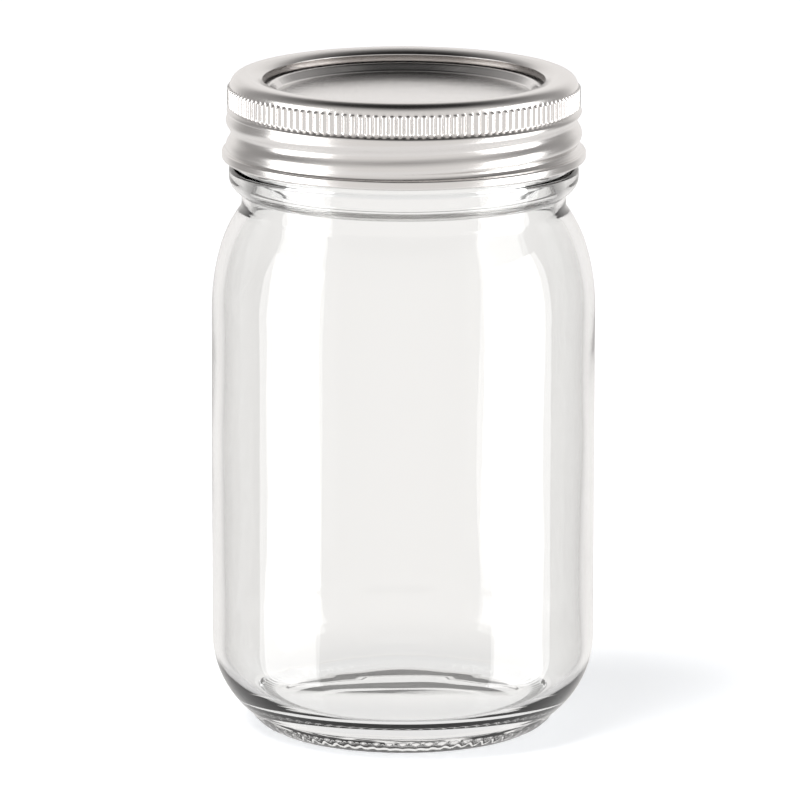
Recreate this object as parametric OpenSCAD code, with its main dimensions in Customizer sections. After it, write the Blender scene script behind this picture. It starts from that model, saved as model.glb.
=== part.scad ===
// Sourdough starter jar: a one pint glass jar with a two-piece screw lid.
// Millimetres, +Z up. The origin is on the jar's axis, at the surface that it stands on.

/* [Glass body] */
// Outer diameter of the body
body_d = 76.8; // [74.5:0.1:90]
// Height of the glass, from the surface to the top of the sealing lip
jar_h = 130.9; // [95:0.1:200]
// Thickness of the side wall
wall = 2.6; // [1.8:0.1:3.2]
// Radius of the rounded heel, outside
heel_r = 18; // [14:0.5:20]
// Radius of the rounded heel, inside
inner_heel_r = 12; // [8:0.5:15]
// Diameter at the parting step, where the body mould met the bottom mould
foot_d = 67.1; // [62:0.1:70]
// Height of the foot ring, up to the parting step
foot_h = 5.5; // [3:0.1:7]
// Width of the ledge at the parting step
foot_step = 0.4; // [0.2:0.1:1]
// Width of the flat ring that the jar stands on
bearing_w = 3; // [1.5:0.1:5]
// Height of the push-up in the middle of the base
push_up = 2; // [1:0.1:3]
// Thickness of the glass floor over the push-up
floor_t = 3.2; // [2:0.1:6]
// Radius of the lower, gentle part of the shoulder
shoulder_low_r = 45; // [35:1:55]
// Radius of the upper, tighter part of the shoulder
shoulder_high_r = 25.5; // [20:0.5:32]
// Angle through which the gentle part turns
shoulder_turn = 15.5; // [10:0.5:20]

/* [Glass finish] */
// Inner diameter of the mouth
mouth_d = 60.2; // [54:0.1:62]
// Thickness of the glass at the neck, under the transfer bead
neck_wall = 2.3; // [1.9:0.05:3]
// Depth of the whole finish, from the lip down to the shoulder
finish_h = 25.1; // [24.2:0.1:28]
// Thickness of the glass at the root of the thread
root_wall = 3.8; // [3.5:0.05:4.2]
// Height of the glass thread above its root
thread_h = 1; // [0.7:0.05:1.4]
// Rise of the thread in one turn
pitch = 5.08; // [4.6:0.01:5.4]
// Number of turns of the glass thread
thread_turns = 1.35; // [0.8:0.05:1.45]
// Drop of the thread's upper end below the lip
thread_drop = 7.2; // [7:0.1:7.8]
// Width of the thread's crest
thread_crest_w = 0.6; // [0.3:0.1:1]
// Direction in which the thread's upper end lies, in degrees from +X
thread_start = 215; // [0:5:355]
// Thickness of the glass at the sealing lip
lip_wall = 3.4; // [3:0.05:3.6]
// Height of the sealing lip above the thread's root
lip_h = 3.4; // [2:0.1:4]
// Rounding of the lip's outer edge
lip_outer_r = 1; // [0.5:0.1:1.2]
// Rounding of the lip's inner edge
lip_inner_r = 1.25; // [0.8:0.05:1.3]
// Depth of the lead-in taper inside the mouth
lead_h = 2.9; // [2:0.1:4]
// Widening of the mouth over the lead-in, on the radius
lead_out = 0.15; // [0.05:0.05:0.3]
// How far the transfer bead stands out past the root of the thread
bead_out = 1; // [0.8:0.05:1.4]
// Rounding of the bead's underside
bead_r = 3.2; // [2.5:0.1:3.4]
// Drop of the bead's widest ring below the lip
bead_drop = 18.9; // [18.7:0.1:19.5]
// Height of the bead's straight side
bead_flat = 1.2; // [0.4:0.1:1.4]

/* [Flat lid and sealing ring] */
// How far the lid reaches out past the sealing lip
lid_over = 0.5; // [0.4:0.05:0.7]
// Thickness of the lid's sheet
lid_t = 0.25; // [0.18:0.01:0.35]
// Thickness of the sealing ring under the lid's rim
seal_t = 0.9; // [0.6:0.05:1.2]
// Distance from the mouth's wall out to the sealing ring
seal_in = 1.1; // [1.1:0.05:1.4]
// Width of the sealing ring
seal_w = 2; // [1.4:0.1:2.1]
// Distance from the mouth's wall out to the flat crest of the lid's rim
rim_in = 1; // [0.8:0.05:1]
// Rounding of the lid's outer edge
lid_edge_r = 1.8; // [1.4:0.1:1.9]
// Distance from the mouth's wall in to the edge of the recessed panel
panel_in = 4.5; // [4.1:0.1:10]
// Depth of the panel below the crest of the rim
panel_depth = 3.65; // [3:0.05:3.7]
// Distance from the mouth's wall in to the ridge round the panel
ridge_in = 3.4; // [2.9:0.1:3.7]
// Width of the flat top of that ridge
ridge_w = 1.6; // [0.8:0.1:1.8]
// Depth of that ridge below the crest of the rim
ridge_depth = 2.15; // [1.8:0.05:2.4]
// Rise of the panel's middle
panel_dome = 0.2; // [0.05:0.05:0.5]

/* [Screw band] */
// Thickness of the band's sheet
band_t = 0.25; // [0.2:0.01:0.3]
// Height of the whole band
band_h = 16.8; // [16.4:0.1:17]
// Distance from the mouth's wall in to the edge of the band's opening
opening_in = 1.9; // [1.1:0.1:5]
// Drop of the opening's edge below the crest
opening_drop = 0.8; // [0.4:0.1:1]
// Distance from the mouth's wall out to the band's flat crest
crest_in = 0.8; // [0.1:0.1:0.8]
// Rounding from the crest to the knurled wall
crest_r = 2.25; // [2:0.05:2.3]
// Length of the knurl's ribs
rib_len = 4; // [3:0.1:4.2]
// Height of the knurl's ribs
rib_depth = 0.5; // [0.2:0.05:0.7]
// Number of ribs round the knurl
rib_count = 140; // [100:4:160]
// Height of the curled bottom edge
curl_h = 1.9; // [1.4:0.1:2.2]
// How far the curled edge stands out past the skirt
curl_out = 0.8; // [0.5:0.1:1.2]

/* [Clearances] */
// Gap between the glass thread and the band, on the radius
thread_gap = 0.35; // [0.3:0.05:0.4]
// Gap between the thread's root and the band's rolled groove, on the radius
groove_gap = 0.4; // [0.35:0.05:0.6]
// Gap between the lid's edge and the band's wall, on the radius
lid_gap = 0.45; // [0.4:0.05:0.5]

/* [Hidden] */
$fn = 128;

body_r = body_d / 2;
foot_r = foot_d / 2;
mouth_r = mouth_d / 2;
neck_r = mouth_r + neck_wall;
root_r = mouth_r + root_wall;
thread_r = root_r + thread_h;
lip_r = mouth_r + lip_wall;
bead_out_r = root_r + bead_out;

// Heights that come out of a root or an angle are rounded, so that the outline's parts meet exactly.
function round_off(x) = round(1000 * x) / 1000;

// Heights of the glass, from the surface up.
heel_centre_r = body_r - heel_r;
heel_z = round_off(foot_h + sqrt(pow(heel_r, 2) - pow(foot_r - heel_centre_r, 2)));
bearing_r = foot_r - foot_step - foot_h;
dome_edge_r = bearing_r - bearing_w;
floor_z = push_up + floor_t;
neck_z = jar_h - finish_h;
bead_z = jar_h - bead_drop;
bead_top = bead_z + bead_flat;
lip_z = jar_h - lip_h;

// The shoulder is two arcs in a row, each tangent to what it leaves.
turn_r = body_r - shoulder_low_r * (1 - cos(shoulder_turn));
shoulder_end = acos(cos(shoulder_turn) - (turn_r - neck_r) / shoulder_high_r);
high_rise = shoulder_high_r * (sin(shoulder_end) - sin(shoulder_turn));
shoulder_z = round_off(neck_z - high_rise - shoulder_low_r * sin(shoulder_turn));
low_centre = [body_r - shoulder_low_r, shoulder_z];
// The upper arc stands out by this much, so that it crosses the lower one instead of just touching.
cross_out = 0.01;
high_centre = low_centre
    + (shoulder_low_r - shoulder_high_r + cross_out) * [cos(shoulder_turn), sin(shoulder_turn)];

// The lid and the band stand on the lip, each on the one below.
seal_top = jar_h + seal_t;
lid_top = seal_top + lid_t;
band_top = lid_top + band_t;
band_bottom = band_top - band_h;
curl_top = band_bottom + curl_h;
knurl_top = band_top - crest_r;
knurl_bottom = knurl_top - rib_len;

// The band's sheet clears the lid at the top and the glass thread below.
lid_r = lip_r + lid_over;
wall_out_r = lid_r + lid_gap + band_t;
bulge_out_r = thread_r + thread_gap + band_t;
groove_depth = bulge_out_r - band_t - root_r - groove_gap;

// The skirt's ends are let into the wall and the curl by this much on each side.
let_in = 0.05;
// Height over which the skirt widens under the knurl, and its groove fades at each end.
fade_h = 1.2;
skirt_steps = 60;
skirt_rows = 12;

// The glass thread is let into the glass, and its ends sink away over a few steps.
thread_steps = 60;
thread_bury = 0.5;
thread_run_out = 5;
arc_steps = 6;

function unit(v) = v / norm(v);
function right_of(v) = [v.y, -v.x];
function smooth(x) = let (t = min(1, max(0, x))) t * t * (3 - 2 * t);
function arc(centre, r, from, to) =
    [for (k = [0 : arc_steps])
        let (a = from + (to - from) * k / arc_steps) centre + r * [cos(a), sin(a)]];

// The way from a path's point to the sheet's other face, mitred where the path bends.
function mitre(path, i) =
    let (last = len(path) - 1,
         before = unit(path[max(i, 1)] - path[max(i, 1) - 1]),
         after = unit(path[min(i, last - 1) + 1] - path[min(i, last - 1)]))
    (right_of(before) + right_of(after)) / (1 + before * after);
function under(path, t) = [for (i = [0 : len(path) - 1]) path[i] + t * mitre(path, i)];
function backwards(list) = [for (i = [len(list) - 1 : -1 : 0]) list[i]];

// Height of the middle of the glass thread, in a direction given in degrees.
function thread_z(a) = jar_h - thread_drop + pitch * (a - thread_start) / 360;

// The solid from the axis out to an arc, between two heights.
module round_slab(centre, r, low, high) {
    intersection() {
        union() {
            translate(centre)
                circle(r);
            translate([0, low])
                square([max(centre.x, 0.1), high - low]);
        }
        translate([0, low])
            square([centre.x + r + 1, high - low]);
    }
}

module straight_slab(r, low, high) {
    translate([0, low])
        square([r, high - low]);
}

// Both arcs of the shoulder, at a depth inside the glass and up to a height.
module shoulder(depth, high) {
    turn_z = round_off(shoulder_z + (shoulder_low_r - depth) * sin(shoulder_turn));
    intersection() {
        round_slab(low_centre, shoulder_low_r - depth, shoulder_z, high);
        union() {
            straight_slab(body_r, shoulder_z, turn_z);
            round_slab(high_centre, shoulder_high_r - depth, turn_z, high);
        }
    }
}

module glass_outside() {
    bead_back_r = bead_out_r - root_r;
    round_slab([bearing_r, foot_h], foot_h, 0, foot_h);
    round_slab([heel_centre_r, heel_z], heel_r, foot_h, heel_z);
    straight_slab(body_r, heel_z, shoulder_z);
    shoulder(0, neck_z + 1);
    straight_slab(neck_r, neck_z - 1, bead_z);
    round_slab([bead_out_r - bead_r, bead_z], bead_r, bead_z - bead_r, bead_z);
    straight_slab(bead_out_r, bead_z, bead_top);
    round_slab([root_r, bead_top], bead_back_r, bead_top, bead_top + bead_back_r);
    straight_slab(root_r, bead_top + bead_back_r, lip_z);
    straight_slab(lip_r, lip_z, jar_h - lip_outer_r);
    round_slab([lip_r - lip_outer_r, jar_h - lip_outer_r], lip_outer_r, jar_h - lip_outer_r, jar_h);
}

module glass_inside() {
    round_slab([body_r - wall - inner_heel_r, floor_z + inner_heel_r], inner_heel_r,
        floor_z, floor_z + inner_heel_r);
    straight_slab(body_r - wall, floor_z + inner_heel_r, shoulder_z);
    shoulder(wall, neck_z + 1);
    straight_slab(mouth_r, shoulder_z, jar_h - lead_h);
    mouth_opening();
}

// The mouth widens a little, then rounds over into the lip.
module mouth_opening() {
    round_z = jar_h - lip_inner_r;
    lead_r = mouth_r + lead_out;
    polygon([[0, jar_h - lead_h], [mouth_r, jar_h - lead_h], [lead_r, round_z], [0, round_z]]);
    difference() {
        straight_slab(lead_r + lip_inner_r, round_z, jar_h + 1);
        translate([lead_r + lip_inner_r, round_z])
            circle(lip_inner_r);
    }
}

// A shallow dome under the base leaves a ring for the jar to stand on.
module push_up_dome() {
    dome_r = (pow(dome_edge_r, 2) + pow(push_up, 2)) / (2 * push_up);
    intersection() {
        translate([0, push_up - dome_r])
            circle(dome_r);
        translate([0, -1])
            square([body_r, push_up + 1]);
    }
}

// The ridge that the band screws on to. It is swept down and round from its upper end.
module glass_thread() {
    count = round(thread_turns * thread_steps);
    bury_r = root_r - thread_bury;
    height = thread_r - bury_r;
    half_top = thread_crest_w / 2;
    half_low = half_top + 1.3 * height / 1.5;
    section = [[0, -half_low], [height - 0.35, -half_top - 0.45], [height, -half_top],
        [height, half_top], [height - 0.35, half_top + 0.45], [0, half_low]];
    corners = len(section);
    rings = [for (k = [0 : count])
        let (a = thread_start - 360 * k / thread_steps,
             stand = min(1, (k + 1) / thread_run_out, (count - k + 1) / thread_run_out))
        for (p = section)
            let (r = bury_r + p.x * stand)
            [r * cos(a), r * sin(a), thread_z(a) + p.y]];
    sides = [for (k = [0 : count - 1]) for (j = [0 : corners - 1])
        let (next = (j + 1) % corners,
             a = k * corners + j, b = k * corners + next,
             c = a + corners, d = b + corners)
        each [[a, d, b], [a, c, d]]];
    first = [for (j = [0 : corners - 1]) j];
    last = [for (j = [corners - 1 : -1 : 0]) count * corners + j];
    polyhedron(rings, concat(sides, [first, last]));
}

module glass_jar() {
    color([0.86, 0.9, 0.9, 0.4])
    union() {
        rotate_extrude()
            difference() {
                glass_outside();
                glass_inside();
                push_up_dome();
            }
        glass_thread();
    }
}

// The lid's upper face, from the axis out and down to its edge.
function lid_path() =
    let (panel_z = lid_top - panel_depth,
         ridge_z = lid_top - ridge_depth,
         panel_r = mouth_r - panel_in,
         ridge_r = mouth_r - ridge_in,
         dome = [panel_r / 2, panel_z + panel_dome])
    concat([[0, dome.y], dome, [panel_r, panel_z],
            [ridge_r, ridge_z], [ridge_r + ridge_w, ridge_z], [mouth_r + rim_in, lid_top]],
        arc([lid_r - lid_edge_r, lid_top - lid_edge_r], lid_edge_r, 90, 0));

module flat_lid() {
    color([0.8, 0.79, 0.78])
    rotate_extrude()
        polygon(concat(lid_path(), backwards(under(lid_path(), lid_t))));
}

// The ring of compound fills the channel under the lid's rim, down to the lip.
module sealing_ring() {
    underside = under(lid_path(), lid_t);
    last = len(underside) - 1;
    channel = [for (i = [last - arc_steps - 1 : last]) underside[i]];
    color([0.86, 0.55, 0.4])
    rotate_extrude()
        intersection() {
            polygon(concat(channel, [[channel[len(channel) - 1].x, jar_h], [channel[0].x, jar_h]]));
            translate([mouth_r + seal_in, jar_h])
                square([seal_w, seal_t]);
        }
}

// The band's outer face, from its opening out and down to the foot of the knurl.
function band_path() =
    concat([[mouth_r - opening_in, band_top - opening_drop], [mouth_r + crest_in, band_top]],
        arc([wall_out_r - crest_r, knurl_top], crest_r, 90, 0),
        [[wall_out_r, knurl_bottom]]);

module knurl() {
    rib_angle = 360 / rib_count;
    tip_r = wall_out_r + rib_depth;
    bury_r = wall_out_r - band_t / 2;
    translate([0, 0, knurl_bottom])
        linear_extrude(rib_len)
            difference() {
                polygon([for (k = [0 : rib_count - 1])
                    each [for (p = [[0.08, bury_r], [0.3, tip_r], [0.62, tip_r], [0.84, bury_r]])
                        let (a = (k + p[0]) * rib_angle) p[1] * [cos(a), sin(a)]]]);
                circle(bury_r - let_in);
            }
}

// How far the skirt has widened at a height, from none at the knurl's foot to all of it.
function widened(z) = smooth((knurl_bottom - z) / fade_h);

// Outer radius of the skirt at a height, in a direction given in degrees.
function skirt_r(z, a) =
    let (start_r = wall_out_r - let_in,
         groove = (1 + cos(360 * (z - thread_z(a) - pitch / 2) / pitch)) / 2,
         fade = smooth((knurl_bottom - fade_h / 2 - z) / fade_h) * smooth((z - curl_top) / fade_h))
    start_r + (bulge_out_r - start_r) * widened(z) - groove_depth * groove * fade;

// The skirt is one formed sheet, with the groove rolled round it that rides on the glass thread.
module skirt() {
    top = knurl_bottom - let_in;
    bottom = curl_top - curl_h / 2;
    rows = concat([knurl_bottom + 5 * let_in],
        [for (j = [0 : skirt_rows]) top + (curl_top - top) * j / skirt_rows],
        [bottom]);
    last = len(rows) - 1;
    n = skirt_steps;
    outer = [for (z = rows) for (i = [0 : n - 1])
        let (a = 360 * i / n,
             r = skirt_r(z, a)) [r * cos(a), r * sin(a), z]];
    inner = [for (z = rows) for (i = [0 : n - 1])
        let (a = 360 * i / n,
             r = skirt_r(z, a) - band_t + 2 * let_in * (1 - widened(z))) [r * cos(a), r * sin(a), z]];
    shift = len(outer);
    walls = [for (j = [0 : last - 1]) for (i = [0 : n - 1])
        let (a = j * n + i, b = j * n + (i + 1) % n, c = a + n, d = b + n)
        each [[a, b, d], [a, d, c],
              [a + shift, d + shift, b + shift], [a + shift, c + shift, d + shift]]];
    ends = [for (i = [0 : n - 1])
        let (a = i, b = (i + 1) % n, c = last * n + i, d = last * n + (i + 1) % n)
        each [[a, a + shift, b + shift], [a, b + shift, b],
              [c, d + shift, c + shift], [c, d, d + shift]]];
    polyhedron(concat(outer, inner), concat(walls, ends));
}

// The bottom edge is curled outwards and closed, so that no raw edge is left.
module curl() {
    in_r = bulge_out_r - band_t - 2 * let_in;
    r = (bulge_out_r + curl_out - in_r) / 2;
    rotate_extrude()
        union() {
            translate([in_r + r, band_bottom + r])
                circle(r);
            translate([in_r + r, curl_top - r])
                circle(r);
            translate([in_r, band_bottom + r])
                square([2 * r, curl_h - 2 * r]);
        }
}

module screw_band() {
    color([0.72, 0.71, 0.7])
    union() {
        rotate_extrude()
            polygon(concat(band_path(), backwards(under(band_path(), band_t))));
        knurl();
        skirt();
        curl();
    }
}

glass_jar();
sealing_ring();
flat_lid();
screw_band();
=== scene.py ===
# %% [markdown]
# # A sourdough starter jar
#
# The jar is glass. Its two-piece lid is thin tinplate: a flat lid with a ring of sealing
# compound, and a band with a knurl, a rolled thread and a curled edge.
#
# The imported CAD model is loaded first, because every piece is fitted to it. The sizes that drive
# this script are read from it, and the rest are measured from there. Sizes are in millimetres
# while an outline is drawn, and in metres once it is a mesh.

from math import atan2, ceil, cos, degrees, pi, radians, sin, sqrt

import bmesh
import bpy
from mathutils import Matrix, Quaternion, Vector, noise


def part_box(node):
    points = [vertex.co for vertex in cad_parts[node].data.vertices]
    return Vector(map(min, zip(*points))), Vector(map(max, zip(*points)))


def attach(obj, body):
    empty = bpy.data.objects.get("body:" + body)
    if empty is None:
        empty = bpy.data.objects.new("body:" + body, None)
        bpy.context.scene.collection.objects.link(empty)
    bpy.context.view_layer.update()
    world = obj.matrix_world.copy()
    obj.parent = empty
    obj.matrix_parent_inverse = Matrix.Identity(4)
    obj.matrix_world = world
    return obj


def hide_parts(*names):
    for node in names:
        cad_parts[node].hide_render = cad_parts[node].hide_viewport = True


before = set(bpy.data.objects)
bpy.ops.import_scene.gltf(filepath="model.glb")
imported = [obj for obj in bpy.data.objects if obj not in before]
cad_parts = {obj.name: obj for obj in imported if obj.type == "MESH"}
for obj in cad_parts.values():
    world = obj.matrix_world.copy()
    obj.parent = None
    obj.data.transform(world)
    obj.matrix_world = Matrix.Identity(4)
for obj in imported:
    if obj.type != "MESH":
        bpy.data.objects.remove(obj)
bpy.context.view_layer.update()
MM = 0.001


def reach(node):
    """The largest radius and height of a CAD node, in millimetres."""
    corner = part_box(node)[1]
    return round(corner.x / MM, 2), round(corner.z / MM, 2)


BODY_R, JAR_TOP = reach("glass_jar")
BAND_TOP = reach("screw_band")[1]
print("frame:", sorted(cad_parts))
print("body radius", BODY_R, "jar top", JAR_TOP, "band top", BAND_TOP)

# %% [markdown]
# ## Outlines
#
# Everything here is round, so each piece is an outline that is spun once about the Z axis. An
# outline is a list of (radius, height) points, and its round stretches are arcs and curves.
# Formed metal and blown glass have no sharp corners, so a corner is cut back and bridged by a
# curve. A sheet is an outline with a thickness: each point has a partner, square to the path.

# %% Outline tools
CORNER_SHARE = 0.45


def arc(centre, radius, start, end, steps):
    """Points round a centre, from one angle to another in degrees."""
    angles = [radians(start + (end - start) * k / steps) for k in range(steps + 1)]
    return [(centre[0] + radius * cos(a), centre[1] + radius * sin(a)) for a in angles]


def line(start, end, steps):
    """Evenly spaced points from start to end, without the start itself."""
    run, rise = end[0] - start[0], end[1] - start[1]
    return [(start[0] + run * k / steps, start[1] + rise * k / steps) for k in range(1, steps + 1)]


def bend(start, control, end, steps):
    """Points on a curve from start to end that leans towards a control point."""
    a, c, b = Vector(start), Vector(control), Vector(end)
    shares = [k / steps for k in range(steps + 1)]
    curve = [a * (1 - t) ** 2 + c * 2 * t * (1 - t) + b * t**2 for t in shares]
    return [(q.x, q.y) for q in curve]


def rounded(points, radius, steps):
    """The same outline with each inner corner cut back and bridged by a curve."""
    result = [points[0]]
    for before, corner, after in zip(points, points[1:], points[2:]):
        p, c, n = Vector(before), Vector(corner), Vector(after)
        cut = min(radius, (p - c).length * CORNER_SHARE, (n - c).length * CORNER_SHARE)
        start, end = c + (p - c).normalized() * cut, c + (n - c).normalized() * cut
        result += bend(start, c, end, steps)
    return result + [points[-1]]


def inner_side(points, thickness):
    """The other face of a sheet, to the right of the way along its outline."""
    ways = [(Vector(b) - Vector(a)).normalized() for a, b in zip(points, points[1:])]
    result = []
    for point, u, v in zip(points, ways[:1] + ways, ways + ways[-1:]):
        side = (Vector((u.y, -u.x)) + Vector((v.y, -v.x))) / (1 + u.dot(v))
        q = Vector(point) + side * thickness
        result.append((q.x, q.y))
    return result


print("a rounded corner:", len(rounded([(0, 0), (1, 0), (1, 1)], 0.2, 4)), "points")

# %% [markdown]
# ## From an outline to a piece
#
# Blender's spin operator turns an outline into a surface, and the seam and the points on the
# axis are then merged. What isn't round, such as a thread or a rib, is pushed out of the round
# surface vertex by vertex, which keeps it one closed skin. A finished mesh becomes an object
# that rides on a body of the frame.

# %% Piece tools
ON_AXIS = 1e-6


def smooth(x):
    """0 below 0 and 1 above 1, with a soft rise between."""
    t = min(1, max(0, x))
    return t * t * (3 - 2 * t)


def revolve(outline, segments, closed):
    """Spins an outline once round the Z axis and closes the seam."""
    bm = bmesh.new()
    verts = [bm.verts.new((r * MM, 0, z * MM)) for r, z in outline]
    edges = [bm.edges.new(pair) for pair in zip(verts, verts[1:])]
    if closed:
        edges.append(bm.edges.new((verts[-1], verts[0])))
    bmesh.ops.spin(
        bm,
        geom=verts + edges,
        cent=(0, 0, 0),
        axis=(0, 0, 1),
        dvec=(0, 0, 0),
        angle=2 * pi,
        steps=segments,
        use_merge=True,
    )
    bmesh.ops.remove_doubles(bm, verts=bm.verts, dist=ON_AXIS)
    bmesh.ops.recalc_face_normals(bm, faces=bm.faces)
    return bm


def reshape(bm, move):
    """Moves each vertex to the (radius, height) that move gives for its place."""
    for v in bm.verts:
        r = sqrt(v.co.x**2 + v.co.y**2)
        if r < ON_AXIS:
            continue
        angle = degrees(atan2(v.co.y, v.co.x)) % 360
        new_r, new_z = move(r / MM, v.co.z / MM, angle)
        v.co = (v.co.x * new_r * MM / r, v.co.y * new_r * MM / r, new_z * MM)


def piece(name, bm, body, material, replaced=()):
    """Makes the mesh an object that rides on a body, in place of the CAD nodes named."""
    mesh = bpy.data.meshes.new(name)
    bm.to_mesh(mesh)
    bm.free()
    mesh.materials.append(material)
    mesh.shade_smooth()
    obj = bpy.data.objects.new(name, mesh)
    bpy.context.collection.objects.link(obj)
    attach(obj, body)
    if replaced:
        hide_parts(*replaced)
    print(name, len(mesh.polygons), "faces")
    return obj


print("smooth(0.5) is", smooth(0.5))

# %% [markdown]
# ## Clear glass
#
# Soda-lime glass lets light through and bends it, and has a very faint colour. The Principled
# shader does both with its transmission and its index of refraction. Blown glass also ripples a
# little, which a faint bump is enough to show, because it only bends the reflections.

# %% Glass
def new_material(name):
    """A material with its nodes, its links and its Principled shader."""
    material = bpy.data.materials.new(name)
    material.use_nodes = True
    nodes = material.node_tree.nodes
    return material, nodes, material.node_tree.links, nodes["Principled BSDF"]


def add_noise(nodes, links, place, scale, detail):
    """A noise pattern that reads a place."""
    pattern = nodes.new("ShaderNodeTexNoise")
    pattern.inputs["Scale"].default_value = scale
    pattern.inputs["Detail"].default_value = detail
    links.new(place, pattern.inputs["Vector"])
    return pattern


def add_bump(nodes, links, shader, pattern, strength, depth):
    """Lets a pattern bend the shader's reflections."""
    bump = nodes.new("ShaderNodeBump")
    bump.inputs["Strength"].default_value = strength
    bump.inputs["Distance"].default_value = depth
    links.new(pattern.outputs["Fac"], bump.inputs["Height"])
    links.new(bump.outputs["Normal"], shader.inputs["Normal"])


glass, nodes, links, shader = new_material("clear_glass")
shader.inputs["Base Color"].default_value = (0.985, 0.99, 0.988, 1)
shader.inputs["Roughness"].default_value = 0.0
shader.inputs["IOR"].default_value = 1.5
shader.inputs["Transmission Weight"].default_value = 1.0
place = nodes.new("ShaderNodeTexCoord").outputs["Object"]
ripple = add_noise(nodes, links, place, scale=45, detail=2)
add_bump(nodes, links, shader, ripple, strength=0.06, depth=0.001)
print(glass.name, len(nodes), "nodes")

# %% [markdown]
# ## Tinplate
#
# Tinplate is thin steel with a satin coat of tin. Its marks come from rolling and forming. Round
# the band they are fine streaks along the turn, and on the stamped lid they are straight. Both
# are one noise pattern that is drawn out one way. For the band it reads the radius, the height
# and the way round, instead of X, Y and Z, so the streaks follow the turn.

# %% Tinplate
STREAK_R = 0.035
SHEEN_SPREAD = 0.05


def wrapped(nodes, links, place):
    """A place as (radius, way round, height), so that a pattern runs round the axis."""
    split = nodes.new("ShaderNodeSeparateXYZ")
    links.new(place, split.inputs["Vector"])
    flat = nodes.new("ShaderNodeVectorMath")
    flat.operation = "MULTIPLY"
    flat.inputs[1].default_value = (1, 1, 0)
    links.new(place, flat.inputs[0])
    length = nodes.new("ShaderNodeVectorMath")
    length.operation = "LENGTH"
    links.new(flat.outputs["Vector"], length.inputs[0])
    angle = nodes.new("ShaderNodeMath")
    angle.operation = "ARCTAN2"
    links.new(split.outputs["Y"], angle.inputs[0])
    links.new(split.outputs["X"], angle.inputs[1])
    around = nodes.new("ShaderNodeMath")
    around.operation = "MULTIPLY"
    around.inputs[1].default_value = STREAK_R
    links.new(angle.outputs["Value"], around.inputs[0])
    join = nodes.new("ShaderNodeCombineXYZ")
    links.new(length.outputs["Value"], join.inputs["X"])
    links.new(around.outputs["Value"], join.inputs["Y"])
    links.new(split.outputs["Z"], join.inputs["Z"])
    return join.outputs["Vector"]


def tinplate(name, colour, roughness, stretch, turned):
    """Satin tinplate. stretch draws its marks out, and turned wraps them round the axis."""
    material, nodes, links, shader = new_material(name)
    shader.inputs["Base Color"].default_value = (*colour, 1)
    shader.inputs["Metallic"].default_value = 1.0
    place = nodes.new("ShaderNodeTexCoord").outputs["Object"]
    if turned:
        place = wrapped(nodes, links, place)
    mapping = nodes.new("ShaderNodeMapping")
    mapping.inputs["Scale"].default_value = stretch
    links.new(place, mapping.inputs["Vector"])
    marks = add_noise(nodes, links, mapping.outputs["Vector"], scale=1, detail=4)
    marks.inputs["Roughness"].default_value = 0.6
    sheen = nodes.new("ShaderNodeMapRange")
    sheen.inputs["To Min"].default_value = roughness - SHEEN_SPREAD
    sheen.inputs["To Max"].default_value = roughness + SHEEN_SPREAD
    links.new(marks.outputs["Fac"], sheen.inputs["Value"])
    links.new(sheen.outputs["Result"], shader.inputs["Roughness"])
    add_bump(nodes, links, shader, marks, strength=0.12, depth=0.0002)
    print(name, len(nodes), "nodes")
    return material


band_metal = tinplate("band_tinplate", (0.83, 0.81, 0.795), 0.24, (900, 60, 900), turned=True)
lid_metal = tinplate("lid_tinplate", (0.86, 0.845, 0.835), 0.2, (60, 1200, 60), turned=False)

# %% [markdown]
# ## Sealing compound
#
# The seal is a matt rubbery ring that is cast into the lid. The photograph hides it, so its
# brick colour is a guess. A fine grain in the bump is all that such a plain material needs.

# %% Sealing compound
compound, nodes, links, shader = new_material("sealing_compound")
shader.inputs["Base Color"].default_value = (0.62, 0.25, 0.15, 1)
shader.inputs["Roughness"].default_value = 0.55
place = nodes.new("ShaderNodeTexCoord").outputs["Object"]
grain = add_noise(nodes, links, place, scale=900, detail=2)
add_bump(nodes, links, shader, grain, strength=0.2, depth=0.0001)
print(compound.name, len(nodes), "nodes")

# %% [markdown]
# ## The outside of the glass
#
# The real jar is pressed and then blown in a mould, so its outside is exact. The outline goes
# out along the dome under the base and over the ring that the jar stands on, up the foot, the
# heel and the body, round the shoulder, and over the transfer bead and the finish to the lip.
# Each stretch is a short function, because each has sizes of its own.

# %% Outside outline
WALL = 2.6
PUSH_UP, DOME_EDGE = 2.0, 24.65
RING_IN, RING_OUT = 25.1, 26.9
HEEL_R, HEEL_TOP = 19, 18.2
BODY_TOP = 85.02
SHOULDER_LOW_R, SHOULDER_HIGH_R = 45, 25.5
SHOULDER_LOW = (BODY_R - SHOULDER_LOW_R, BODY_TOP)
SHOULDER_HIGH = (12.2, 90.23)
SHOULDER_TURN = 15.5
NECK_R, ROOT_R, LIP_R = 32.4, 33.9, 33.5
BEAD_R, BEAD_LOW, BEAD_HIGH = 34.9, 3.2, 1.0


def foot_outline():
    """The dome under the base, the ring that the jar stands on, the foot and its step."""
    dome_r = (DOME_EDGE**2 + PUSH_UP**2) / (2 * PUSH_UP)
    dome = [(r, PUSH_UP - dome_r + sqrt(dome_r**2 - r**2)) for r in range(0, 25, 3)]
    ring = [(DOME_EDGE, 0.02), (RING_IN, 0), (RING_OUT, 0)]
    foot = bend((27.3, 0.03), (29.7, 1.3), (31.3, 3.7), steps=18)
    step = [(31.37, 3.82), (31.52, 3.88), (31.68, 3.95)]
    return dome + ring + foot + step


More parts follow.
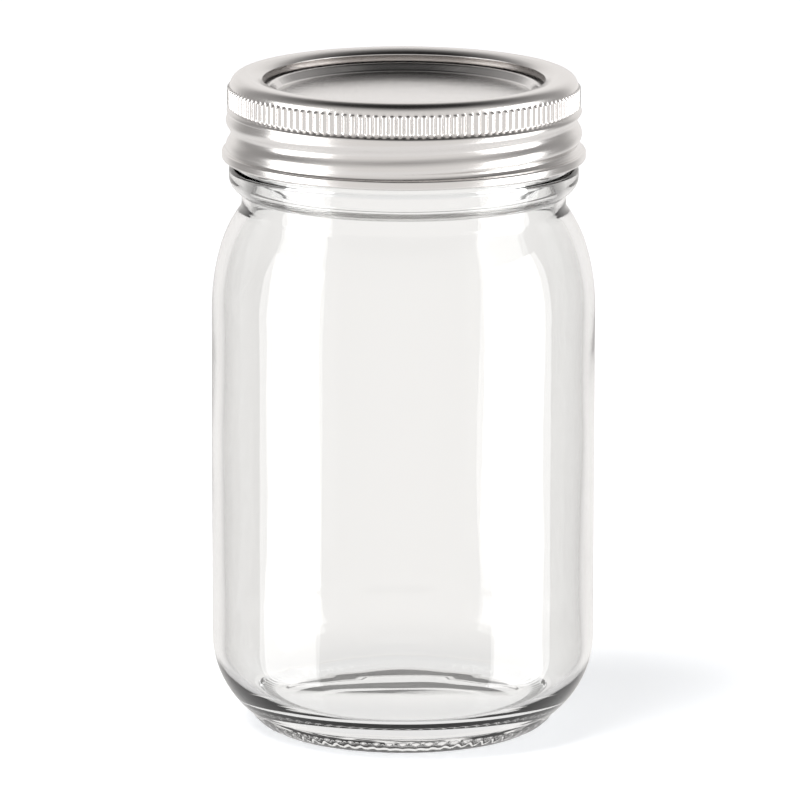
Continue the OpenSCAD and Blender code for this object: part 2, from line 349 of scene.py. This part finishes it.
def body_outline():
    """The heel, the straight body and the two arcs of the shoulder."""
    heel = arc((BODY_R - HEEL_R, HEEL_TOP), HEEL_R, -48.2, 0, steps=22)
    side = line(heel[-1], (BODY_R, BODY_TOP), steps=26)
    low = arc(SHOULDER_LOW, SHOULDER_LOW_R, 1, SHOULDER_TURN, steps=7)
    high = arc(SHOULDER_HIGH, SHOULDER_HIGH_R, SHOULDER_TURN + 2, 37, steps=10)
    return heel + side + low + high


def finish_outline():
    """The neck, the transfer bead, the wall that carries the thread, and the lip."""
    neck = [(NECK_R + 0.08, 105.9), (NECK_R, 106.3), (NECK_R, 107.4)]
    neck += [(NECK_R, 108.5), (NECK_R + 0.07, 108.85)]
    bead = arc((BEAD_R - BEAD_LOW, 112), BEAD_LOW, -74, 0, steps=12)
    bead += [(BEAD_R, 112.6), (BEAD_R, 113.2)]
    bead += arc((BEAD_R - BEAD_HIGH, 113.2), BEAD_HIGH, 15, 80, steps=5)
    wall = [(ROOT_R + 0.02, 114.24)] + line((ROOT_R, 114.4), (ROOT_R, 127.0), steps=50)
    lip = [(ROOT_R - 0.15, 127.25), (LIP_R + 0.02, 127.5), (LIP_R, 128.6), (LIP_R, 129.6)]
    return neck + bead + wall + lip + arc((LIP_R - 1, JAR_TOP - 1), 1.0, 0, 90, steps=6)


outside = foot_outline() + body_outline() + finish_outline()
print("outside:", len(outside), "points")

# %% [markdown]
# ## The inside of the glass
#
# Nothing but air shapes the inside, so it follows the outside one wall in, with softer corners.
# It goes on from the lip, down the mouth, the shoulder and the body to the middle of the floor.

# %% Inside outline
MOUTH_R, MOUTH_EDGE = 30.1, 1.25
CORNER_R, FLOOR_TOP = 12, 5.2
INSIDE_R = BODY_R - WALL


def inside_outline():
    """The mouth, the inner shoulder, the body's inner wall and the floor."""
    mouth = arc((31.5, JAR_TOP - MOUTH_EDGE), MOUTH_EDGE, 90, 180, steps=7)
    mouth += [(MOUTH_R, 128.0)] + line((MOUTH_R, 128.0), (MOUTH_R, 106.5), steps=12)
    mouth += [(MOUTH_R + 0.05, 105.5), (MOUTH_R + 0.25, 104.6), (MOUTH_R + 0.65, 103.7)]
    high = arc(SHOULDER_HIGH, SHOULDER_HIGH_R - WALL, 34, SHOULDER_TURN, steps=8)
    low = arc(SHOULDER_LOW, SHOULDER_LOW_R - WALL, 13, 0, steps=6)
    corner_z = FLOOR_TOP + CORNER_R
    side = line(low[-1], (INSIDE_R, corner_z), steps=44)
    corner = arc((INSIDE_R - CORNER_R, corner_z), CORNER_R, -5, -90, steps=17)
    return mouth + high + low + side + corner + line(corner[-1], (0, FLOOR_TOP), steps=12)


inside = inside_outline()
print("inside:", len(inside), "points")

# %% [markdown]
# ## The thread and the ripples
#
# The glass thread is a soft ridge that winds down from under the lip and fades at both ends.
# Small stipples under the foot keep the hot glass off the belt in the factory. The inside of
# blown glass is never quite true, so it gets slow ripples. All three push vertices of the round
# jar, which is quicker than cutting or joining solids and leaves no seam. Angles are in degrees.

# %% Glass jar
PITCH = 5.08
THREAD_TOP = JAR_TOP - 7.2
THREAD_START, THREAD_TURNS = 215, 1.35
THREAD_LENGTH = 360 * THREAD_TURNS
THREAD_H = 1.0
THREAD_HALF, THREAD_FLANK, THREAD_RUN = 1.75, 1.35, 22
THREAD_LOW, THREAD_HIGH = 114.6, 126.6
STIPPLES, STIPPLE_H = 72, 0.12
STIPPLE_IN, STIPPLE_OUT, STIPPLE_MARGIN = 27.9, 30.7, 0.3
STIPPLE_CEILING = 3.4
RIPPLE_LOW, RIPPLE_HIGH, RIPPLE_EASE = 9, 104, 14
WALL_RIPPLE, WALL_WAVES, WALL_RISE = 0.17, 1.7, 38
FLOOR_RIPPLE, FLOOR_WAVES, FLOOR_SPAN = 0.22, 1.3, 15
FLOOR_EDGE, FLOOR_EASE = 30, 8


def thread_height(z, angle):
    """How much of the thread's full height there is at a height and an angle."""
    best = 0
    for turn in range(3):
        along = (THREAD_START - angle) % 360 + 360 * turn
        if along > THREAD_LENGTH:
            continue
        off = abs(z - THREAD_TOP + PITCH * along / 360)
        ends = smooth(along / THREAD_RUN) * smooth((THREAD_LENGTH - along) / THREAD_RUN)
        best = max(best, ends * smooth((THREAD_HALF - off) / THREAD_FLANK))
    return best


def stipple_move(r, z, angle):
    """Pushes one foot stipple out and down."""
    across = smooth((r - STIPPLE_IN) / 0.5) * smooth((STIPPLE_OUT - r) / 0.6)
    push = STIPPLE_H * max(0, cos(radians(angle * STIPPLES))) * across
    return r + push, z - push


def glass_move(r, z, angle):
    """The thread, the stipples and the ripples of the glass at one place."""
    if r > ROOT_R - 0.2 and THREAD_LOW < z < THREAD_HIGH:
        return r + THREAD_H * thread_height(z, angle), z
    if STIPPLE_IN - STIPPLE_MARGIN < r < STIPPLE_OUT + STIPPLE_MARGIN and z < STIPPLE_CEILING:
        return stipple_move(r, z, angle)
    if r < INSIDE_R + 0.7 and RIPPLE_LOW < z < RIPPLE_HIGH:
        ease = smooth((z - RIPPLE_LOW) / RIPPLE_EASE) * smooth((RIPPLE_HIGH - z) / RIPPLE_EASE)
        spot = Vector((cos(radians(angle)), sin(radians(angle)), z / WALL_RISE))
        return r + WALL_RIPPLE * ease * noise.noise(spot * WALL_WAVES), z
    if r < FLOOR_EDGE and FLOOR_TOP - 0.7 < z < RIPPLE_LOW:
        ease = smooth((FLOOR_EDGE - r) / FLOOR_EASE)
        spot = Vector((r * cos(radians(angle)), r * sin(radians(angle)), 0)) / FLOOR_SPAN
        return r, z + FLOOR_RIPPLE * ease * noise.noise(spot * FLOOR_WAVES)
    return r, z


jar = revolve(outside + inside, 4 * STIPPLES, closed=False)
reshape(jar, glass_move)
piece("jar_glass", jar, "jar", glass, ["glass_jar"])

# %% [markdown]
# ## The flat lid
#
# The lid is stamped from one thin disc. Its path runs over the faint dome of the panel, down
# into the panel's corner, up to the ridge and again to the rim, and turns down at the edge. It is
# drawn as one line with a thickness, so that the sheet is equally thick all the way.

# %% Lid
SHEET = 0.25
RIM_R, RIM_CURVE = 32.2, 1.8
RIM_TOP = BAND_TOP - SHEET
RIM_CENTRE = (RIM_R, RIM_TOP - RIM_CURVE)
RIDGE_TOP = 129.95
panel = [(0.0, 128.62), (6, 128.61), (12, 128.57), (18, 128.5), (25.5, 128.4)]
steps_up = [(26.7, RIDGE_TOP), (28.2, RIDGE_TOP), (31.0, RIM_TOP), (RIM_R, RIM_TOP)]
lid_top = rounded(panel + steps_up, 0.45, steps=4)[:-1]
lid_top += arc(RIM_CENTRE, RIM_CURVE, 90, 0, steps=10)
lid = revolve(lid_top + inner_side(lid_top, SHEET)[::-1], 256, closed=False)
piece("lid_sheet", lid, "lid", lid_metal, ["flat_lid"])

# %% [markdown]
# ## The seal
#
# The compound fills the channel under the rim and stands on the glass lip. It is a closed
# outline: flat where the lip presses it, and rounded to the lid above.

# %% Seal
SEAL_IN, SEAL_OUT, SEAL_CORNER = 31.2, 33.2, 0.1
UNDER_LID = SHEET + 0.01
seal_foot = [(SEAL_IN + SEAL_CORNER, JAR_TOP), (SEAL_OUT - SEAL_CORNER, JAR_TOP)]
seal_side = [(SEAL_OUT, JAR_TOP + SEAL_CORNER), (SEAL_OUT, JAR_TOP + 0.5)]
seal_top = arc(RIM_CENTRE, RIM_CURVE - UNDER_LID, 55, 90, steps=4)
seal_top += [(SEAL_IN + SEAL_CORNER, RIM_TOP - UNDER_LID), (SEAL_IN, RIM_TOP - 0.35)]
seal_back = [(SEAL_IN, JAR_TOP + SEAL_CORNER)]
seal = revolve(seal_foot + seal_side + seal_top + seal_back, 192, closed=True)
piece("lid_seal", seal, "lid", compound, ["sealing_ring"])

# %% [markdown]
# ## The top of the band and its knurl
#
# The band is a sheet that is drawn over the lid's rim, and its wall is pressed into upright ribs
# for grip. The sheet is spun with several columns of vertices for each rib, and the ribs are
# pushed out of it. Real ribs show in the silhouette, which a bump pattern would not do.

# %% Band top and knurl
WALL_R, CREST_R = 34.7, 2.25
CREST = (WALL_R - CREST_R, BAND_TOP - CREST_R)
RIBS, COLUMNS_PER_RIB = 140, 8
RIB_HEIGHT, RIB_HALF, RIB_FLANK = 0.5, 0.36, 0.16
KNURL_TOP, KNURL_BOTTOM = 130.2, 125.95
WALL_HEIGHTS = (130.05, 129.8, 129.5, 129.0, 128.0, 127.0, 126.6, 126.3, 126.1, 125.9, 125.7)

band_path = rounded([(28.2, 131.45), (30.9, BAND_TOP), (CREST[0], BAND_TOP)], 0.8, steps=5)[:-1]
band_path += arc(CREST, CREST_R, 90, 6, steps=9) + [(WALL_R, z) for z in WALL_HEIGHTS]
band_under = inner_side(band_path, SHEET)
edge_middle = (Vector(band_path[0]) + Vector(band_under[0])) / 2
edge_round = [(edge_middle.x - 0.11, edge_middle.y - 0.035)]
band_section = band_path + band_under[::-1] + edge_round
band_top = revolve(band_section, RIBS * COLUMNS_PER_RIB, closed=True)


def knurl_move(r, z, angle):
    """Presses the wall out into upright ribs with soft ends."""
    if r < WALL_R - 0.7 or z > KNURL_TOP + 0.1:
        return r, z
    phase = angle * RIBS / 360 % 1
    rib = smooth((RIB_HALF - abs(phase - 0.5)) / RIB_FLANK)
    ends = smooth((KNURL_TOP - z) / 0.45) * smooth((z - KNURL_BOTTOM) / 0.4)
    return r + RIB_HEIGHT * rib * ends, z


reshape(band_top, knurl_move)
piece("band_top", band_top, "band", band_metal, ["screw_band"])

# %% [markdown]
# ## The skirt of the band and its curl
#
# Below the knurl the sheet widens, and a groove is rolled round it that rides under the glass
# thread. Its bottom edge is curled outwards, so that no raw edge is left. The groove is a wave in
# height, half a pitch away from the thread, which rises once a turn as the thread does.

# %% Band skirt and curl
GROOVE, GROOVE_SHARPNESS = 0.95, 1.15
SKIRT_TOP, SKIRT_BOTTOM = 126.0, 117.5
BULGE_R = 35.5
BAND_BOTTOM = BAND_TOP - 16.8
CURL_R = 0.525
ROW, ROW_TOP, ROW_LOW = 0.25, SKIRT_TOP + 0.2, SKIRT_BOTTOM + 0.1
INNER_R = BULGE_R - SHEET
CURL_CENTRE_R = INNER_R + CURL_R

rows = [ROW_TOP - ROW * k for k in range(ceil((ROW_TOP - ROW_LOW) / ROW))]
skirt_section = [(BULGE_R, z) for z in (*rows, SKIRT_BOTTOM)]
skirt_section += arc((CURL_CENTRE_R, SKIRT_BOTTOM - 0.1 - CURL_R), CURL_R, 100, 0, steps=7)
skirt_section += arc((CURL_CENTRE_R, BAND_BOTTOM + CURL_R), CURL_R, 0, -180, steps=12)
skirt_section += [(INNER_R, z) for z in (116.6, SKIRT_BOTTOM, *reversed(rows))]
skirt = revolve(skirt_section, 480, closed=True)


def skirt_move(r, z, angle):
    """Widens the skirt under the knurl and rolls the groove into it."""
    if z < SKIRT_BOTTOM - 0.05:
        return r, z
    widen = smooth(SKIRT_TOP + 0.1 - z)
    thread_z = THREAD_TOP + PITCH * (angle - THREAD_START) / 360
    wave = cos(2 * pi * (z - thread_z - PITCH / 2) / PITCH)
    groove = ((1 + wave) / 2) ** GROOVE_SHARPNESS
    fade = smooth((SKIRT_TOP - 0.5 - z) / 1.1) * smooth((z - SKIRT_BOTTOM + 0.1) / 1.1)
    start = WALL_R - 0.02
    return r - BULGE_R + start + (BULGE_R - start) * widen - GROOVE * groove * fade, z


reshape(skirt, skirt_move)
piece("band_skirt", skirt, "band", band_metal)

# %% [markdown]
# ## The floor
#
# The jar stands on white and casts a soft shadow. Only the camera sees this floor. To every other
# ray it is transparent, so that the glass and the metal take their tones from the world and the
# lamps alone. A little light of its own keeps it as white as the background.

# %% Floor
FLOOR_HALF, FLOOR_DROP = 4, 0.00005
bm = bmesh.new()
bmesh.ops.create_grid(bm, x_segments=1, y_segments=1, size=FLOOR_HALF)
floor_mesh = bpy.data.meshes.new("floor")
bm.to_mesh(floor_mesh)
bm.free()
floor = bpy.data.objects.new("floor", floor_mesh)
floor.location = (0, 0, -FLOOR_DROP)
bpy.context.collection.objects.link(floor)

white = bpy.data.materials.new("white_floor")
white.use_nodes = True
nodes, links = white.node_tree.nodes, white.node_tree.links
nodes.remove(nodes["Principled BSDF"])
paint = nodes.new("ShaderNodeBsdfDiffuse")
paint.inputs["Color"].default_value = (0.93, 0.945, 0.97, 1)
glow = nodes.new("ShaderNodeEmission")
glow.inputs["Color"].default_value = (0.97, 0.985, 1.0, 1)
glow.inputs["Strength"].default_value = 0.5
both = nodes.new("ShaderNodeAddShader")
links.new(paint.outputs["BSDF"], both.inputs[0])
links.new(glow.outputs["Emission"], both.inputs[1])
seen = nodes.new("ShaderNodeMixShader")
links.new(nodes.new("ShaderNodeLightPath").outputs["Is Camera Ray"], seen.inputs["Fac"])
links.new(nodes.new("ShaderNodeBsdfTransparent").outputs["BSDF"], seen.inputs[1])
links.new(both.outputs["Shader"], seen.inputs[2])
links.new(seen.outputs["Shader"], nodes["Material Output"].inputs["Surface"])
floor_mesh.materials.append(white)
print("floor:", 2 * FLOOR_HALF, "m across")

# %% [markdown]
# ## The world
#
# Glass and metal show little but their surroundings, so these are drawn as tones of the sky. One
# ramp runs from front to back: it is pale in front of the jar and behind it, and grey at the
# sides. Another ramp darkens the top. Well below the horizon the tone is that of a pale table.

# %% World
FRONT_TO_BACK = [(0.0, 0.8), (0.3, 0.74), (0.5, 0.3), (0.8, 0.34)]
FRONT_TO_BACK += [(0.87, 0.55), (0.92, 0.9), (1.0, 0.94)]
UPWARDS = [(0.0, 1.0), (0.4, 1.0), (0.62, 1.0), (0.82, 0.85)]
UPWARDS += [(0.92, 0.4), (0.96, 0.06), (1.0, 0.03)]
WARM, NEUTRAL = (1, 0.978, 0.962), (1, 1, 1)
TABLE_COLOUR = (0.84, 0.83, 0.825, 1)
TABLE_EDGE, TABLE_FULL = -0.26, -0.5

world = bpy.data.worlds.new("studio")
bpy.context.scene.world = world
world.use_nodes = True
nodes, links = world.node_tree.nodes, world.node_tree.links
split = nodes.new("ShaderNodeSeparateXYZ")
links.new(nodes.new("ShaderNodeTexCoord").outputs["Generated"], split.inputs["Vector"])


def spread(axis, low, high):
    """The way a ray goes along an axis, from 0 at low to 1 at high."""
    node = nodes.new("ShaderNodeMapRange")
    node.inputs["From Min"].default_value = low
    node.inputs["From Max"].default_value = high
    links.new(split.outputs[axis], node.inputs["Value"])
    return node.outputs["Result"]


def ramp(source, stops, tint):
    """A run of grey tones along source, with a faint tint."""
    node = nodes.new("ShaderNodeValToRGB")
    first, *middle, last = stops
    ends = node.color_ramp.elements
    for stop, (position, value) in zip((ends[0], ends[1]), (first, last)):
        stop.position = position
        stop.color = (*(value * t for t in tint), 1)
    for position, value in middle:
        ends.new(position).color = (*(value * t for t in tint), 1)
    links.new(source, node.inputs["Fac"])
    return node.outputs["Color"]


def mixed(first, second, factor, kind):
    """Two colours blended, where each input is a socket or a fixed value."""
    node = nodes.new("ShaderNodeMix")
    node.data_type = "RGBA"
    node.blend_type = kind
    for name, value in (("A", first), ("B", second), ("Factor", factor)):
        if isinstance(value, bpy.types.NodeSocket):
            links.new(value, node.inputs[name])
        else:
            node.inputs[name].default_value = value
    return node.outputs["Result"]


sky = ramp(spread("Y", -1, 1), FRONT_TO_BACK, WARM)
sky = mixed(sky, TABLE_COLOUR, spread("Z", TABLE_EDGE, TABLE_FULL), "MIX")
sky = mixed(sky, ramp(spread("Z", -1, 1), UPWARDS, NEUTRAL), 1, "MULTIPLY")
links.new(sky, nodes["Background"].inputs["Color"])
nodes["Background"].inputs["Strength"].default_value = 1.0
print("world:", len(nodes), "nodes")

# %% [markdown]
# ## The lamps
#
# Two tall softboxes, one at each side, draw the pale upright windows on the glass and the bright
# bands on the metal. A third lamp, overhead, is there for the shadow: no reflection shows it, and
# neither does the view through the glass.

# %% Lamps
LAMP_TARGET = (0, 0, 0.06)
WARM_WHITE = (1, 0.995, 0.985)
SIDE_SIZE, KEY_SIZE = (0.75, 1.1), (0.6, 0.6)


def softbox(name, place, size, power, colour=(1, 1, 1)):
    """A rectangular lamp at place that faces the jar."""
    light = bpy.data.lights.new(name, "AREA")
    light.shape = "RECTANGLE"
    light.size, light.size_y = size
    light.energy = power
    light.color = colour
    lamp = bpy.data.objects.new(name, light)
    lamp.location = place
    lamp.rotation_mode = "QUATERNION"
    lamp.rotation_quaternion = (Vector(LAMP_TARGET) - Vector(place)).to_track_quat("-Z", "Y")
    bpy.context.collection.objects.link(lamp)
    print(name, power, "W")
    return lamp


softbox("left_softbox", (-0.95, -0.28, 0.0), SIDE_SIZE, 6)
softbox("right_softbox", (0.95, -0.22, 0.0), SIDE_SIZE, 7)
key = softbox("key_softbox", (-0.45, -0.35, 1.25), KEY_SIZE, 12, WARM_WHITE)
key.visible_glossy = False
key.visible_transmission = False

# %% [markdown]
# ## The camera
#
# The photograph was taken from far off with a long lens, a little from above, and it leans by a
# fraction of a degree. The camera stands 1.65 m in front of the jar's axis and looks down at the
# middle of the jar.

# %% Camera
CAMERA_PLACE = Vector((-0.00066, -1.65, 0.42366))
CAMERA_AIM = Vector((-0.00066, 0, 0.06599))
CAMERA_LEAN = 0.0022

camera_data = bpy.data.cameras.new("camera")
camera_data.lens = 378.9
camera_data.sensor_width = 36
camera = bpy.data.objects.new("camera", camera_data)
camera.location = CAMERA_PLACE
camera.rotation_mode = "QUATERNION"
level = (CAMERA_AIM - CAMERA_PLACE).to_track_quat("-Z", "Y")
camera.rotation_quaternion = level @ Quaternion((0, 0, 1), CAMERA_LEAN)
bpy.context.collection.objects.link(camera)
scene = bpy.context.scene
scene.camera = camera
scene.view_settings.view_transform = "Standard"
print("camera:", round(camera_data.lens, 1), "mm lens")
